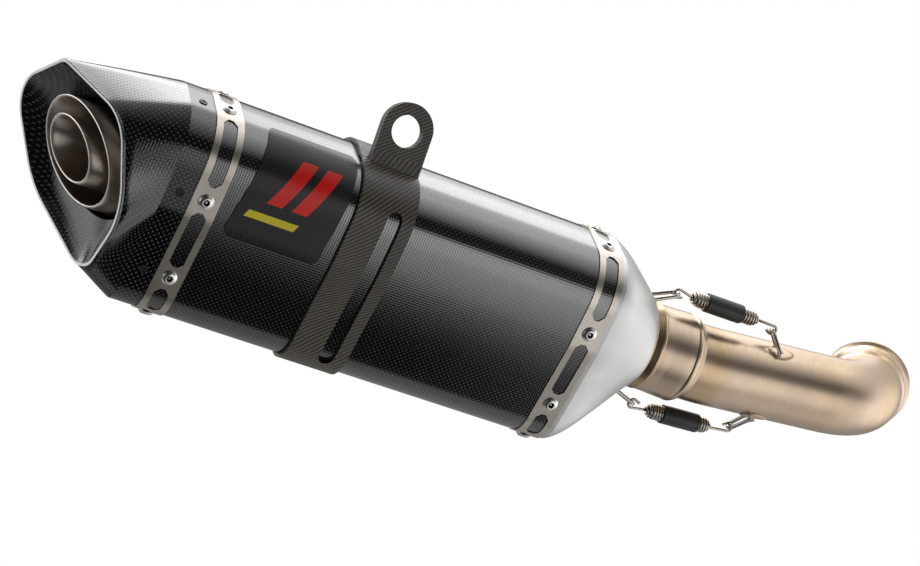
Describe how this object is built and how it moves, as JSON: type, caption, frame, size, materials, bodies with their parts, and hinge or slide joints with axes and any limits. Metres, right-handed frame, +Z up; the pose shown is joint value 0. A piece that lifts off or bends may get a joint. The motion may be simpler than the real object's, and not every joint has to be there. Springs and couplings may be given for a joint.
{
  "type": "motorcycle exhaust silencer with link pipe",
  "caption": "Six-sided carbon silencer with a slanted outlet, metal straps, a hanger clamp and a sprung bent link pipe that slips in its inlet.",
  "frame": {"origin": "centre of the hanger clamp's eye, midway through its two ears", "axes": "+X along the silencer from the outlet to the link pipe, +Y along the eye's hole away from the badge side, +Z up"},
  "size_m": [0.6341, 0.1062, 0.1711],
  "materials": {
    "carbon_sleeve": "gloss lacquered plain-weave carbon",
    "strap_metal": "brushed titanium band",
    "rivet_metal": "polished stainless",
    "carbon_cap": "gloss lacquered twill carbon",
    "screw_black": "black oxide",
    "tube_metal": "polished titanium with brown heat tint inside",
    "core_metal": "perforated stainless",
    "wool": "packed silencer wool",
    "cap_metal": "bead-blasted titanium",
    "pipe_metal": "brushed titanium with a straw heat tint",
    "carbon_clamp": "satin twill carbon",
    "rubber": "black rubber",
    "badge": "dark satin plate",
    "wire_metal": "stainless wire"
  },
  "bodies": {
    "hanger": {"hanger_clamp": "carbon_clamp", "clamp_liner": "rubber"},
    "silencer": {"outer_sleeve": "carbon_sleeve", "outlet_strap": "strap_metal", "inlet_strap": "strap_metal", "outlet_strap_rivets": "rivet_metal", "inlet_strap_rivets": "rivet_metal", "outlet_end_cap": "carbon_cap", "end_cap_dish": "carbon_cap", "end_cap_screws": "screw_black", "outlet_outer_tube": "tube_metal", "outlet_inner_tube": "tube_metal", "outlet_tube_web": "tube_metal", "perforated_core": "core_metal", "packing_wool": "wool", "outlet_bulkhead": "core_metal", "inlet_bulkhead": "core_metal", "inlet_cap": "cap_metal", "inlet_cap_flange": "cap_metal", "inlet_neck": "pipe_metal", "badge_plate": "badge", "cap_hook_upper": "wire_metal", "cap_hook_lower": "wire_metal", "spring_upper": "wire_metal", "spring_lower": "wire_metal"},
    "link": {"link_pipe": "pipe_metal", "link_pipe_bead": "pipe_metal", "link_pipe_collar": "pipe_metal", "pipe_hook_upper": "wire_metal", "pipe_hook_lower": "wire_metal"},
    "cuff_upper": {"spring_cuff_upper": "rubber"},
    "cuff_lower": {"spring_cuff_lower": "rubber"}
  },
  "joints": [
    {"name": "silencer_slide", "type": "slide", "parent": "hanger", "child": "silencer", "axis": [1, 0, 0], "range_m": [-0.11, 0.003]},
    {"name": "link_slip", "type": "slide", "parent": "silencer", "child": "link", "axis": [1, 0, 0], "range_m": [0, 0.01], "stiffness_N_per_m": 4000, "springref_m": -0.01, "deforming": ["spring_upper", "spring_lower"]},
    {"name": "cuff_upper_follow", "type": "slide", "parent": "silencer", "child": "cuff_upper", "axis": [1, 0, 0], "range_m": [0, 0.005]},
    {"name": "cuff_lower_follow", "type": "slide", "parent": "silencer", "child": "cuff_lower", "axis": [1, 0, 0], "range_m": [0, 0.005]}
  ],
  "couplings": [
    {"joint": "cuff_upper_follow", "follows": "link_slip", "ratio": 0.5},
    {"joint": "cuff_lower_follow", "follows": "link_slip", "ratio": 0.5}
  ]
}
